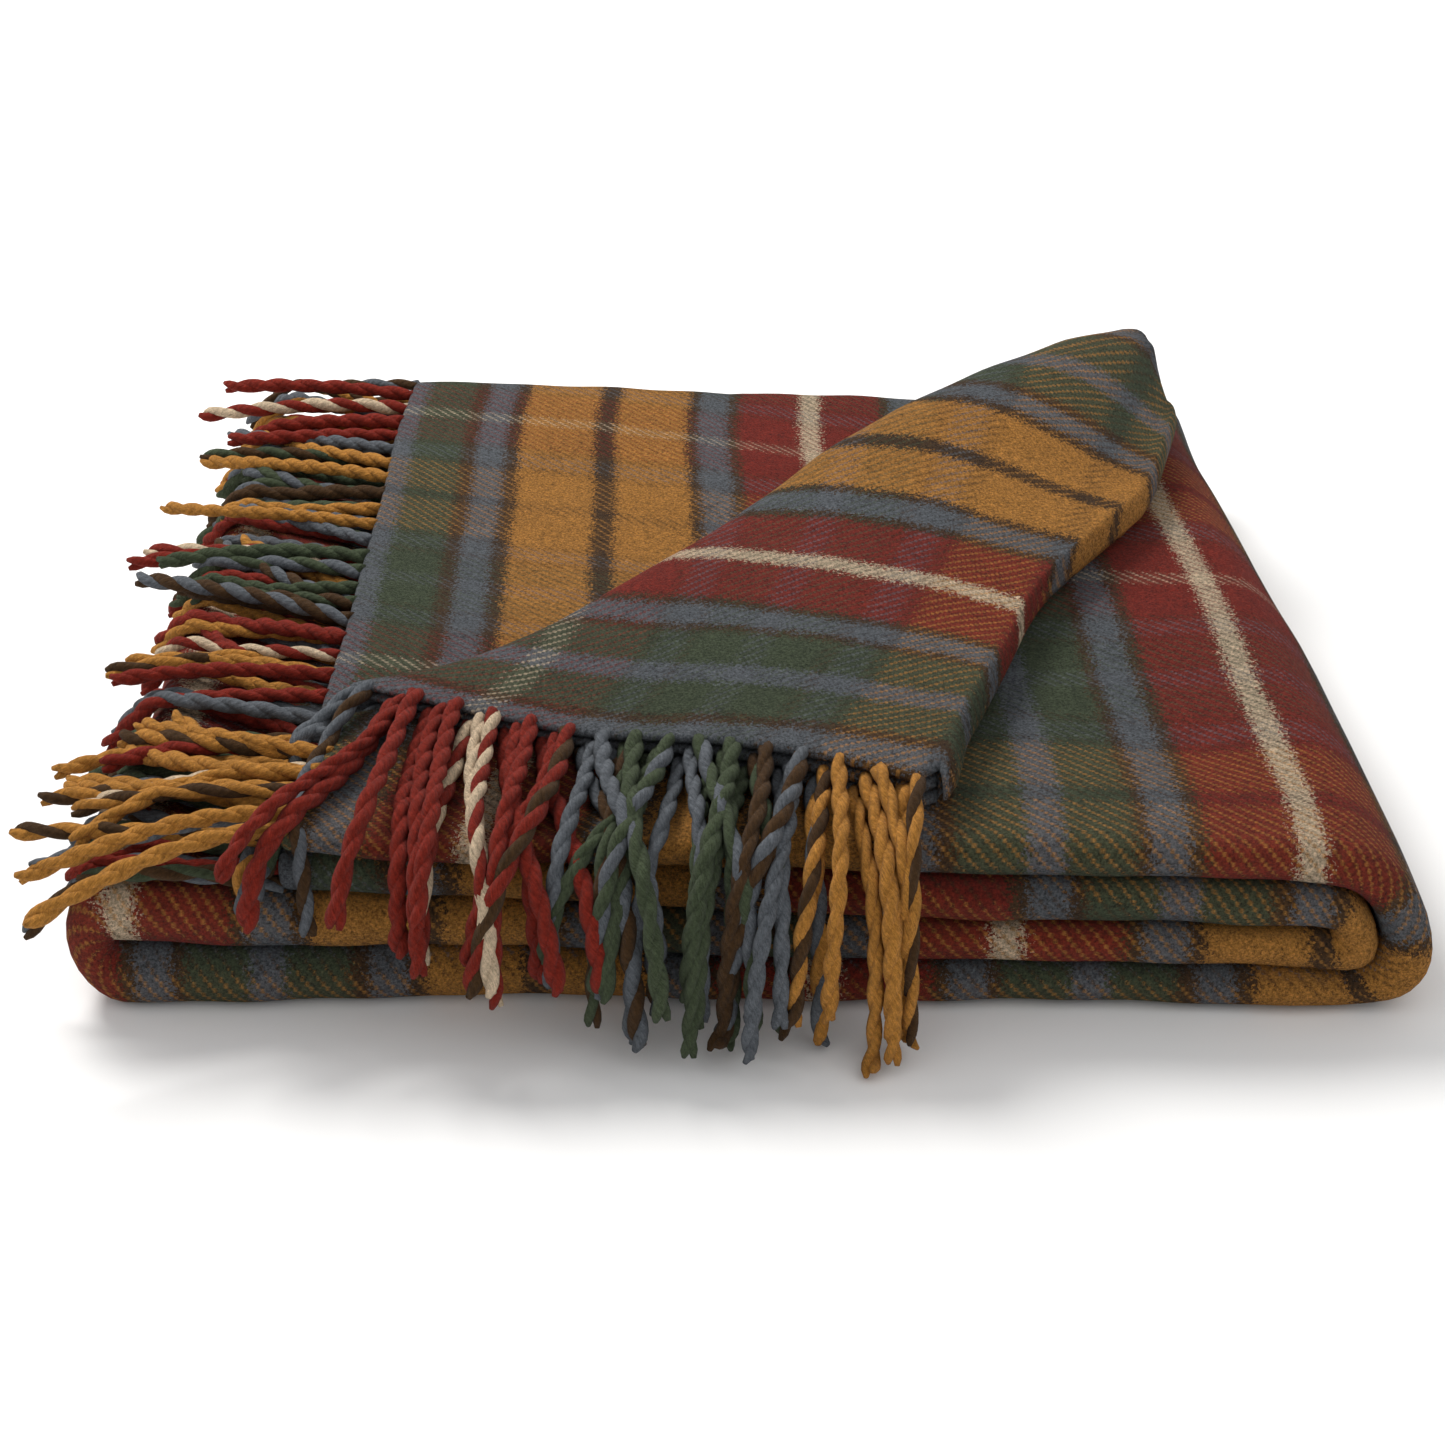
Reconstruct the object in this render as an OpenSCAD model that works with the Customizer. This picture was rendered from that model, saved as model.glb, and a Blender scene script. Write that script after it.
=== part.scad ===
// Folded tartan throw blanket with a twisted fringe at both ends.
// The cloth is folded to three plies across its width and then twice along its length, so it lies as
// four leaves. The back left corner of the top leaf is turned over towards the front in a soft roll.
// +X is to the right, +Y to the back and +Z up. The origin is the middle of the underside.

/* [Stack] */
// Width of the folded stack, left fold to right fold
stack_w = 457; // [380:1:560]
// Depth of the folded stack, front to back
stack_d = 430; // [360:1:520]
// Thickness of one leaf, which is three plies of cloth
leaf_t = 18.2; // [14:0.1:22]
// Clearance between neighbouring leaves
leaf_gap = 0.4; // [0.3:0.1:1]
// Distance from the left fold to the fringed edge of the upper leaves
fringe_inset = 75; // [60:1:100]

/* [Turned corner] */
// Left end of the crease, from the middle of the stack towards the left
crease_left_x = 146; // [120:1:150]
// Left end of the crease, from the middle of the stack towards the front
crease_left_y = 123; // [100:1:140]
// Angle of the crease in plan, from the X axis
crease_angle = 40.2; // [36:0.1:44]
// Length of the fringed edge of the turned flap
flap_fringe = 230; // [200:1:240]
// Turn of the flap's fringed edge from the X axis
flap_turn = 21.2; // [15:0.1:25]
// Height of the soft roll above the top leaf
flap_t = 20; // [18:0.1:22]
// Thickness of the turned flap at its own corner
flap_edge_t = 14; // [10:1:18]
// Height of the turned corner's crest above the top leaf
crest_h = 42; // [38:1:60]

/* [Fringe] */
// Length of one tassel
tassel_l = 97; // [80:1:105]
// Thickness of one tassel
tassel_d = 6; // [4:0.1:6]
// Number of tassel places along the side fringe
side_places = 27; // [10:1:27]
// Number of tassel places along the flap's fringe
flap_places = 15; // [6:1:15]
// Number of tassel places on the part of the top leaf's edge that isn't turned
corner_places = 6; // [3:1:6]
// Number of tassel places on the end of the roll
roll_places = 3; // [1:1:3]

/* [Hidden] */
function place_names(stem, count) = [for (i = [1:count]) str(stem, "_", i < 10 ? "0" : "", i)];
CLOTH = [
    "bottom_leaf", "third_leaf", "second_leaf", "top_leaf", "left_fold", "inner_right_fold",
    "outer_right_fold", "corner_roll", "corner_flap"
];

plies = 3;
pitch = leaf_t + leaf_gap;
front_y = -stack_d / 2;
// The left fold joins two leaves and the outer right fold wraps all four
left_fold_r = leaf_t + leaf_gap / 2;
outer_fold_r = 2 * leaf_t + 1.5 * leaf_gap;
left_fold_x = -stack_w / 2 + left_fold_r;
right_fold_x = stack_w / 2 - outer_fold_r;
right_fold_z = outer_fold_r;
fringe_x = -stack_w / 2 + fringe_inset;
top_z = 3 * pitch + leaf_t;
// The crease's axis and the half round that joins the top leaf to the flap
roll_low = 3 * pitch;
roll_high = top_z + leaf_gap + flap_t;
roll_r = (roll_high - roll_low) / 2;
roll_z = (roll_high + roll_low) / 2;
crease_start = [-crease_left_x, -crease_left_y];
crease_end_x = right_fold_x + 11;
crease_l = (crease_end_x + crease_left_x) / cos(crease_angle);
crease_end = crease_start + crease_l * [cos(crease_angle), sin(crease_angle)];
flap_tip = crease_start + flap_fringe * [cos(flap_turn), -sin(flap_turn)];
big = 2 * stack_w;
// The crest of the turned corner, as places along the crease and across it, and shares of its height
crest_r = 12;
crest = [[0.32, 58, 0.66], [0.62, 48, 0.86], [0.86, 30, 1]];
// Each ply's tassels lie in a layer of their own and a third of a place apart
layer = leaf_t / plies;
side_pitch = stack_d / side_places;
edge_r = leaf_t / 2;
path_rings = 17;
tassel_sides = 6;
// Room kept at the crease for the roll's own tassels
flap_start = 10;

// One leaf: a slab whose front and back edges are rounded folds
module leaf(x0, x1, level) {
    translate([x0, 0, level * pitch + leaf_t / 2])
        union() {
            translate([0, front_y + edge_r, -leaf_t / 2])
                cube([x1 - x0, stack_d - 2 * edge_r, leaf_t]);
            for (y = [front_y + edge_r, -front_y - edge_r])
                translate([0, y, 0])
                    rotate([0, 90, 0])
                        cylinder(r = edge_r, h = x1 - x0, $fn = 48);
        }
}

// A half round fold along Y, to the right of x where side is 1 and to the left where it is -1
module half_fold(x, z, outer_r, side) {
    translate([x, 0, z])
        intersection() {
            rotate([90, 0, 0])
                cylinder(r = outer_r, h = stack_d - leaf_t, center = true, $fn = 96);
            translate([side > 0 ? 0 : -outer_r - 1, -stack_d, -outer_r - 1])
                cube([outer_r + 1, 2 * stack_d, 2 * outer_r + 2]);
        }
}

// Everything on the far side of the crease, seen from above
module beyond_crease(height) {
    translate([crease_start.x, crease_start.y, 0])
        rotate([0, 0, crease_angle])
            translate([-big, 0, -1])
                cube([2 * big, big, height + 2]);
}

// The round that the outer right fold needs, kept clear of the roll
module right_fold_room() {
    translate([right_fold_x, 0, right_fold_z])
        rotate([90, 0, 0])
            cylinder(r = outer_fold_r + leaf_gap, h = big, center = true, $fn = 96);
}

module bottom_leaf() {
    color([0.36, 0.33, 0.25]) leaf(left_fold_x, right_fold_x, 0);
}

module third_leaf() {
    color([0.51, 0.18, 0.15]) leaf(left_fold_x, right_fold_x, 1);
}

module second_leaf() {
    color([0.71, 0.49, 0.2]) leaf(fringe_x, right_fold_x, 2);
}

module top_leaf() {
    color([0.28, 0.35, 0.29])
        difference() {
            leaf(fringe_x, right_fold_x, 3);
            beyond_crease(top_z);
        }
}

module left_fold() {
    color([0.51, 0.18, 0.15]) half_fold(left_fold_x, left_fold_r, left_fold_r, -1);
}

module inner_right_fold() {
    color([0.71, 0.49, 0.2]) half_fold(right_fold_x, right_fold_z, left_fold_r, 1);
}

module outer_right_fold() {
    color([0.36, 0.4, 0.48])
        difference() {
            half_fold(right_fold_x, right_fold_z, outer_fold_r, 1);
            translate([right_fold_x, 0, right_fold_z])
                rotate([90, 0, 0])
                    cylinder(r = left_fold_r + leaf_gap, h = stack_d, center = true, $fn = 96);
        }
}

// Half round along the crease, where the top leaf turns back over itself
module corner_roll() {
    color([0.51, 0.18, 0.15])
        difference() {
            translate([crease_start.x, crease_start.y, roll_z])
                rotate([0, 0, crease_angle])
                    intersection() {
                        rotate([0, 90, 0])
                            cylinder(r = roll_r, h = crease_l, $fn = 96);
                        translate([-1, 0, -roll_r - 1])
                            cube([crease_l + 2, roll_r + 1, 2 * roll_r + 2]);
                    }
            right_fold_room();
        }
}

// The turned triangle of cloth, from the crease to its own corner, puffed up between them
module corner_flap() {
    color([0.28, 0.35, 0.29])
        translate([0, 0, top_z + leaf_gap])
            hull() {
                linear_extrude(height = flap_edge_t)
                    polygon([crease_start, flap_tip, crease_end]);
                for (place = crest)
                    translate([crease_start.x, crease_start.y, 0])
                        rotate([0, 0, crease_angle])
                            translate([place[0] * crease_l, -place[1], place[2] * crest_h - crest_r])
                                sphere(r = crest_r, $fn = 32);
            }
}

// A bent tassel in the YZ plane: a six-sided bar along the points of its path
module bent_tassel(path) {
    n = len(path);
    rings = [
        for (i = [0:n - 1])
            let (
                along = path[min(i + 1, n - 1)] - path[max(i - 1, 0)],
                up = [0, -along.z, along.y] / norm(along)
            )
            for (k = [0:tassel_sides - 1])
                let (turn = k * 360 / tassel_sides)
                    path[i] + tassel_d / 2 * (cos(turn) * [1, 0, 0] + sin(turn) * up)
    ];
    walls = [
        for (i = [0:n - 2])
            for (k = [0:tassel_sides - 1])
                let (next = (k + 1) % tassel_sides, low = i * tassel_sides, high = low + tassel_sides)
                    [low + k, low + next, high + next, high + k]
    ];
    polyhedron(
        points = rings,
        faces = concat(
            [[for (k = [tassel_sides - 1:-1:0]) k]],
            walls,
            [[for (k = [0:tassel_sides - 1]) (n - 1) * tassel_sides + k]]
        ),
        convexity = 4
    );
}

// Point at arc length s on a path that runs forward on the top leaf, over its rounded front edge,
// down the front and out along the ground. Offset is the height of the path above the cloth.
function over_edge(x, root_y, offset, s) =
    let (
        centre_y = front_y + edge_r,
        centre_z = top_z - edge_r,
        bend_r = edge_r + offset,
        forward = root_y - centre_y,
        bend_l = bend_r * PI / 2,
        ground_z = tassel_d / 2 + 0.2 + (offset - layer / 2),
        drop = centre_z - ground_z,
        a = (s - forward) / bend_r * 180 / PI
    )
    s < forward ? [x, root_y - s, top_z + offset]
    : s < forward + bend_l ? [x, centre_y - bend_r * sin(a), centre_z + bend_r * cos(a)]
    : s < forward + bend_l + drop ? [x, centre_y - bend_r, centre_z - (s - forward - bend_l)]
    : [x, centre_y - bend_r - (s - forward - bend_l - drop), ground_z];

function flap_root(i) =
    let (along = flap_start + (i - 0.5) * (flap_fringe - flap_start) / flap_places)
    crease_start + along * [cos(flap_turn), -sin(flap_turn)];

// The three plies' tassels at one place on the flap's fringe, hanging over the front
module flap_tassels(i) {
    color([0.36, 0.4, 0.48])
        for (ply = [0:plies - 1])
            let (
                root = flap_root(i),
                x = root.x + (ply - 1) * flap_fringe / flap_places / plies * cos(flap_turn),
                offset = (ply + 0.5) * layer + 2 * leaf_gap,
                edge_y = crease_start.y - (x - crease_start.x) * tan(flap_turn) - tassel_d / 2
            )
            bent_tassel([
                for (k = [0:path_rings - 1])
                    over_edge(x, edge_y, offset, k * tassel_l / (path_rings - 1))
            ]);
}

// Straight tassels, one for each ply, from a fringed edge at the given level
module straight_tassels(root, level, heading) {
    for (ply = [0:plies - 1])
        translate([root.x, root.y + (ply - 1) * side_pitch / plies, level * pitch + (ply + 0.5) * layer])
            rotate([0, 0, heading])
                rotate([0, 90, 0])
                    cylinder(d = min(tassel_d, layer - 0.06), h = tassel_l, $fn = 24);
}

module side_tassels(i) {
    color([0.71, 0.49, 0.2])
        straight_tassels([fringe_x, front_y + (i - 0.5) * side_pitch], 2, 180);
}

module corner_tassels(i) {
    corner_pitch = (stack_d / 2 - crease_left_y) / corner_places;
    color([0.51, 0.18, 0.15]) straight_tassels([fringe_x, front_y + (i - 0.5) * corner_pitch], 3, 180);
}

// Tassels out of the roll's end, one above the other, which point away along the crease. They start
// a radius inside the crease, so that they pass over the unturned fringe as the corner turns back.
module roll_tassels(i) {
    lift = 0.75 * tassel_d + (i - 1) * (tassel_d + leaf_gap);
    color([0.76, 0.71, 0.61])
        translate([crease_start.x, crease_start.y, roll_z + lift])
            rotate([0, 0, crease_angle])
                translate([0, -tassel_d / 2, 0])
                    rotate([0, -90, 0])
                        cylinder(d = tassel_d, h = tassel_l, $fn = 24);
}

bottom_leaf();
third_leaf();
second_leaf();
top_leaf();
left_fold();
inner_right_fold();
outer_right_fold();
corner_roll();
corner_flap();
for (i = [1:side_places])
    side_tassels(i);
for (i = [1:flap_places])
    flap_tassels(i);
for (i = [1:corner_places])
    corner_tassels(i);
for (i = [1:roll_places])
    roll_tassels(i);
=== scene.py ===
"""A tartan wool throw, folded to four leaves with one corner turned over in a soft roll.

The cloth is one strip, folded to three plies across its width (a letter fold) and then carried along its
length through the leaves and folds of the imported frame. Lengths here are millimetres until a mesh is made.
"""
import math
import random

import bpy
import numpy as np
from mathutils import Euler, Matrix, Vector


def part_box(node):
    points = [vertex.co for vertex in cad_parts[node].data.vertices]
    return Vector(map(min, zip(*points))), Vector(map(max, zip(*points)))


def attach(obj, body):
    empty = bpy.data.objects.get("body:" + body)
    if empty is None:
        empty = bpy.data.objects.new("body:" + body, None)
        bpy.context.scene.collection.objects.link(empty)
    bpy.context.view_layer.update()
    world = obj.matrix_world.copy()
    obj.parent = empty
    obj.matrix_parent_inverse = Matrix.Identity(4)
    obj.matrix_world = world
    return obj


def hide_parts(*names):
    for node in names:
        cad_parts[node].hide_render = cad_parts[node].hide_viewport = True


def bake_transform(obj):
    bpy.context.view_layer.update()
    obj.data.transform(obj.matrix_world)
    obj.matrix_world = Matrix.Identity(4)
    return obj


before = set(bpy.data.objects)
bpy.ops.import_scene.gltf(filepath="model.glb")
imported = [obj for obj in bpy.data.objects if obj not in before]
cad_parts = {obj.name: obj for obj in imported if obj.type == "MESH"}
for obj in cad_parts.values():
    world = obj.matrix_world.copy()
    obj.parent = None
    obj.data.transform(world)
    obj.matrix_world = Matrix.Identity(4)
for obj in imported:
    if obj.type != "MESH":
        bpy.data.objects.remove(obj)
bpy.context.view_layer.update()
MM = 0.001

# ---------------------------------------------------------------- sizes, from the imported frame


def span(node):
    """Lowest and highest corner of a CAD node, in millimetres."""
    low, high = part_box(node)
    return np.array(low) / MM, np.array(high) / MM


low_leaf, high_leaf = span("bottom_leaf")
second_low, second_high = span("second_leaf")
FRONT_Y = low_leaf[1]
BACK_Y = high_leaf[1]
LEAF_T = high_leaf[2] - low_leaf[2]
PITCH = span("third_leaf")[0][2]
FRINGE_X = second_low[0]
LEFT_X = low_leaf[0]
RIGHT_X = high_leaf[0]
HALF = LEAF_T / 2
LEVELS = [HALF + PITCH * i for i in range(4)]
STACK_TOP = LEVELS[3] + HALF

PLY = LEAF_T / 3
SKIN = 2.6
STEP = 6.0
WRAP_TURN = math.radians(125)

# The crease of the turned corner, from its left end
CREASE = np.array([-146.0, -123.0])
CREASE_TURN = math.radians(40.2)
ALONG = np.array([math.cos(CREASE_TURN), math.sin(CREASE_TURN)])
ACROSS = np.array([math.sin(CREASE_TURN), -math.cos(CREASE_TURN)])
CREASE_L = 439.0
FLAP_CORNER = np.array([110.1, 201.9])

# ---------------------------------------------------------------- the tartan's sett

GREEN, BLUE, BROWN, MUSTARD, RED, CREAM = "green", "blue", "brown", "mustard", "red", "cream"
SETT = [
    (GREEN, 22), (BLUE, 12), (GREEN, 22), (BROWN, 6), (BLUE, 13), (BROWN, 6), (MUSTARD, 33), (BROWN, 10),
    (MUSTARD, 32), (BROWN, 5), (BLUE, 14), (BROWN, 5), (RED, 30), (CREAM, 9.5), (RED, 30), (BROWN, 5),
    (BLUE, 13), (BROWN, 5),
]
REPEAT = sum(width for _, width in SETT)
DYES = {
    GREEN: (0.060, 0.078, 0.043), BLUE: (0.118, 0.130, 0.146), BROWN: (0.066, 0.034, 0.014),
    MUSTARD: (0.455, 0.203, 0.040), RED: (0.212, 0.021, 0.012), CREAM: (0.62, 0.48, 0.33),
}
WARP_SCALE = 0.93
WARP_AT_FRONT = 154.0
THREAD = 1.37

# ---------------------------------------------------------------- small helpers


def smooth(t):
    t = np.clip(t, 0, 1)
    return t * t * (3 - 2 * t)


def waves(points, size, seed, count=7):
    """Smooth seeded ripples of about unit height over points (..., 3), with wavelengths near size."""
    rng = random.Random(seed)
    total = 0
    for _ in range(count):
        turn = rng.uniform(0, math.tau)
        tilt = rng.uniform(-0.6, 0.6)
        number = math.tau / (size * rng.uniform(0.7, 1.6))
        heading = np.array([math.cos(turn), math.sin(turn), tilt]) * number
        total = total + np.sin(points @ heading + rng.uniform(0, math.tau))
    return total / math.sqrt(count)


def low_lift(x):
    """How far the lower leaves' heights are stretched: lofty at the left, pressed at the right folds."""
    return 1.03 - 0.00112 * x + 0.0000018 * x * x


def settle(points):
    """The same soft settling for everything, so that neighbours stay neighbours. Points are (..., 3)."""
    p = np.array(points, float)
    x, y, z = p[..., 0].copy(), p[..., 1].copy(), p[..., 2].copy()
    lift = low_lift(np.clip(x, -235, 235))
    lift = 1 + (lift - 1) * np.where(x < 0, 1 - 0.5 * smooth((y + 100) / 300), 1)
    two_leaves = 2 * PITCH
    z1 = np.where(z < two_leaves, z * lift, z + (lift - 1) * two_leaves)
    base = 3 * PITCH
    above = np.clip(z - base, 0, None)
    loft = 0.62 + 0.33 * smooth((x + 130) / 220)
    z1 = z1 - above * (1 - loft)
    share = np.clip(z / STACK_TOP, 0, 1)
    flat = np.stack([x, y, 0 * z], -1)
    z1 = z1 + share * 1.5 * waves(flat, 170, 3) + share * 0.5 * waves(flat, 55, 4)
    # The leaves slip a little over each other, and the right side leans out towards the front
    x1 = x - 0.052 * y * smooth((x + 40) / 230) + 1.6 * waves(p * [0, 1, 2.2], 190, 5)
    y1 = y + 1.9 * waves(p * [1, 0, 2.6], 150, 6) + 0.7 * waves(p * [1, 0, 3], 50, 7)
    # The front edges round down a little
    front = smooth((FRONT_Y + 45 - y) / 50)
    z1 = z1 - 2.2 * front * share * (0.6 + 0.4 * smooth((x + 100) / 200))
    # The outer wrap hangs low
    past = smooth((x - RIGHT_X + 8) / 36)
    z1 = z1 - past * 7 * np.sin(math.pi * np.clip(z / STACK_TOP, 0, 1) ** 0.8)
    x1 = x1 + past * (3 - 8 * share)
    return np.stack([x1, y1, np.maximum(z1, 0)], -1)


# ---------------------------------------------------------------- meshes


def make_object(name, verts, faces, cloth, sharp=()):
    """A mesh object from millimetre points. cloth is a vector per vertex that the materials read."""
    mesh = bpy.data.meshes.new(name)
    mesh.from_pydata((np.asarray(verts) * MM).tolist(), [], faces)
    mesh.attributes.new("cloth", "FLOAT_VECTOR", "POINT").data.foreach_set(
        "vector", np.asarray(cloth, np.float32).ravel()
    )
    mesh.shade_smooth()
    if len(sharp):
        wanted = {tuple(sorted(e)) for e in sharp}
        flags = [tuple(sorted(e.vertices)) in wanted for e in mesh.edges]
        mesh.attributes.new("sharp_edge", "BOOLEAN", "EDGE").data.foreach_set("value", flags)
    obj = bpy.data.objects.new(name, mesh)
    bpy.context.scene.collection.objects.link(obj)
    return obj


def edge_lines(length, step, first_free, last_free):
    """Distances along a line: even steps, with close steps at each free edge for its rounding."""
    close = [0, 0.35, 1.1, 2.4, 4.2]
    count = max(2, int(round(length / step)))
    inner = np.linspace(0, length, count + 1)
    start = close if first_free else [0]
    end = [length - c for c in reversed(close)] if last_free else [length]
    middle = [d for d in inner if start[-1] + 1.5 < d < end[0] - 1.5]
    return np.array(start + middle + end)


def rounding(distance, half):
    """Half thickness at a distance from a free edge, so that the edge is round."""
    t = np.clip(1 - distance / (half * 1.2), 0, 1)
    return half * np.sqrt(np.clip(1 - t * t, 0.02, 1))


def sheet_mesh(centre, normal, half, cloth):
    """A closed solid sheet round a grid of centre points: (points, faces, cloth, sharp rim edges)."""
    rows, cols = centre.shape[:2]
    upper = centre + normal * half[..., None]
    lower = centre - normal * half[..., None]
    verts = np.concatenate([upper.reshape(-1, 3), lower.reshape(-1, 3)])
    field = np.concatenate([cloth.reshape(-1, 3)] * 2)
    i, j = np.meshgrid(np.arange(rows - 1), np.arange(cols - 1), indexing="ij")
    a = (i * cols + j).ravel()
    quads = np.stack([a, a + 1, a + cols + 1, a + cols], -1)
    mid = (rows // 2, cols // 2)
    t1 = centre[mid[0], min(mid[1] + 1, cols - 1)] - centre[mid[0], mid[1] - 1]
    t2 = centre[min(mid[0] + 1, rows - 1), mid[1]] - centre[mid[0] - 1, mid[1]]
    if np.dot(np.cross(t1, t2), normal[mid]) < 0:
        quads = quads[:, ::-1]
    size = rows * cols
    under = quads[:, ::-1] + size
    loop = [(0, j) for j in range(cols)] + [(i, cols - 1) for i in range(1, rows)]
    loop += [(rows - 1, j) for j in range(cols - 2, -1, -1)] + [(i, 0) for i in range(rows - 2, 0, -1)]
    ring = np.array([i * cols + j for i, j in loop])
    following = np.roll(ring, -1)
    rim = np.stack([ring, following, following + size, ring + size], -1)
    edges_up = {(int(q[k]), int(q[(k + 1) % 4])) for q in quads for k in range(4)}
    if (int(ring[0]), int(following[0])) in edges_up:
        rim = rim[:, ::-1]
    faces = np.concatenate([quads, under, rim]).tolist()
    return verts, faces, field, ring, size


def join_sheets(name, sheets):
    """One object from several (centre, normal, half, cloth) grids. Rims that aren't rounded are sharp."""
    all_verts, all_faces, all_cloth, sharp = [], [], [], []
    start = 0
    for centre, normal, half, cloth in sheets:
        verts, faces, field, ring, size = sheet_mesh(centre, normal, half, cloth)
        thick = half.ravel()[ring] > SKIN * 0.9
        for k, is_thick in enumerate(thick):
            n = (k + 1) % len(ring)
            if is_thick and thick[n]:
                sharp.append((int(ring[k] + start), int(ring[n] + start)))
                sharp.append((int(ring[k] + size + start), int(ring[n] + size + start)))
        all_verts.append(verts)
        all_faces += [[v + start for v in f] for f in faces]
        all_cloth.append(field)
        start += len(verts)
    return make_object(name, np.concatenate(all_verts), all_faces, np.concatenate(all_cloth), sharp)


def numeric_normals(grid):
    """Unit normals of a grid of points by its own differences."""
    du = np.gradient(grid, axis=0)
    dv = np.gradient(grid, axis=1)
    n = np.cross(du, dv)
    return n / np.maximum(np.linalg.norm(n, axis=-1, keepdims=True), 1e-9)


def unit(v):
    return v / np.maximum(np.linalg.norm(v, axis=-1, keepdims=True), 1e-9)


# ---------------------------------------------------------------- the letter fold's section


def letter_fold():
    """The folded section: points (y, n), unit normals, warp distance and distance to the nearest free edge.
    It starts at the free edge at the back, runs forward on the outer ply, round the front, back on the lower
    ply, round the inner fold and forward on the middle ply."""
    front = FRONT_Y + HALF
    back = BACK_Y - HALF
    inner_back = back - 6
    points, normals = [], []
    turn = np.linspace(WRAP_TURN, 0, 9)[:-1]
    points += [(back + PLY * math.sin(t), PLY * math.cos(t)) for t in turn]
    normals += [(math.sin(t), math.cos(t)) for t in turn]
    count = int((back - front) / STEP)
    for y in np.linspace(back, front, count):
        points.append((y, PLY))
        normals.append((0, 1))
    for t in np.linspace(0, math.pi, 13)[1:-1]:
        points.append((front - PLY * math.sin(t), PLY * math.cos(t)))
        normals.append((-math.sin(t), math.cos(t)))
    for y in np.linspace(front, inner_back, count):
        points.append((y, -PLY))
        normals.append((0, -1))
    small = PLY / 2
    for t in np.linspace(0, math.pi, 7)[1:-1]:
        points.append((inner_back + small * math.sin(t), -small - small * math.cos(t)))
        normals.append((math.sin(t), -math.cos(t)))
    for y in np.linspace(inner_back, front + 6, count):
        points.append((y, 0))
        normals.append((0, 1))
    points, normals = np.array(points, float), np.array(normals, float)
    arc = np.concatenate([[0], np.cumsum(np.linalg.norm(np.diff(points, axis=0), axis=1))])
    foremost = arc[np.argmin(points[:, 0])]
    free = np.minimum(arc, arc[-1] - arc)
    return points, normals, foremost - arc, free


SECTION, SECTION_N, SECTION_V, SECTION_FREE = letter_fold()


def strip(path, heading, weft, start_free=False, end_free=False, skew=None, left_of=None):
    """The letter fold carried along a path of leaf centre points (x, z) with leaf normals heading (x, z).
    weft is the cloth's length coordinate along the path. Returns (centre, normal, half, cloth)."""
    path, heading = np.asarray(path, float), np.asarray(heading, float)
    rows, cols = len(path), len(SECTION)
    y, n = SECTION[:, 0], SECTION[:, 1]
    x = path[:, None, 0] + n[None] * heading[:, None, 0]
    z = path[:, None, 1] + n[None] * heading[:, None, 1]
    weft = np.repeat(np.asarray(weft, float)[:, None], cols, 1)
    if left_of is not None:
        right = path[:, 0].max()
        span_x = right - path[:, 0].min()
        limit = left_of(y)
        share = (right - x) / span_x
        new_x = right - share * (right - limit)[None]
        weft = weft + (x - new_x)
        x = new_x
    centre = np.stack([x, np.repeat(y[None], rows, 0), z], -1)
    normal = np.stack(
        [SECTION_N[None, :, 1] * heading[:, None, 0], np.repeat(SECTION_N[None, :, 0], rows, 0),
         SECTION_N[None, :, 1] * heading[:, None, 1]], -1)
    run = np.concatenate([[0], np.cumsum(np.linalg.norm(np.diff(path, axis=0), axis=1))])
    half = np.repeat(rounding(SECTION_FREE, SKIN)[None], rows, 0)
    if start_free:
        half = np.minimum(half, rounding(run, SKIN)[:, None])
    if end_free:
        half = np.minimum(half, rounding(run[-1] - run, SKIN)[:, None])
    warp = np.repeat(SECTION_V[None], rows, 0)
    if skew is not None:
        warp = warp - skew(x)
    warp = WARP_AT_FRONT + warp / WARP_SCALE
    cloth = np.stack([weft, warp, np.zeros_like(warp)], -1)
    return centre, normal, half, cloth


def settle_sheet(sheet):
    """Settles a sheet's two faces together, then takes its centre and normal from them."""
    centre, normal, half, cloth = sheet
    up = settle(centre + normal * SKIN)
    down = settle(centre - normal * SKIN)
    middle = (up + down) / 2
    return middle, unit(up - down), half * np.linalg.norm(up - down, axis=-1) / (2 * SKIN), cloth


def straight(x0, x1, z, step=STEP, start_free=False, end_free=False):
    length = abs(x1 - x0)
    d = edge_lines(length, step, start_free, end_free)
    x = x0 + np.sign(x1 - x0) * d
    return np.stack([x, np.full_like(x, z)], -1)


def half_turn(x, z, radius, side, first_up, count):
    """A half circle in XZ round a centre, from straight above (first_up) or below to the other end."""
    t = np.linspace(0, math.pi, count)
    sign = 1 if first_up else -1
    points = np.stack([x + side * radius * np.sin(t), z + sign * radius * np.cos(t)], -1)
    out = np.stack([side * np.sin(t), sign * np.cos(t)], -1)
    return points, out


# ---------------------------------------------------------------- materials


def node_tree(name):
    material = bpy.data.materials.new(name)
    material.use_nodes = True
    material.node_tree.nodes.clear()
    return material, material.node_tree


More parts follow.
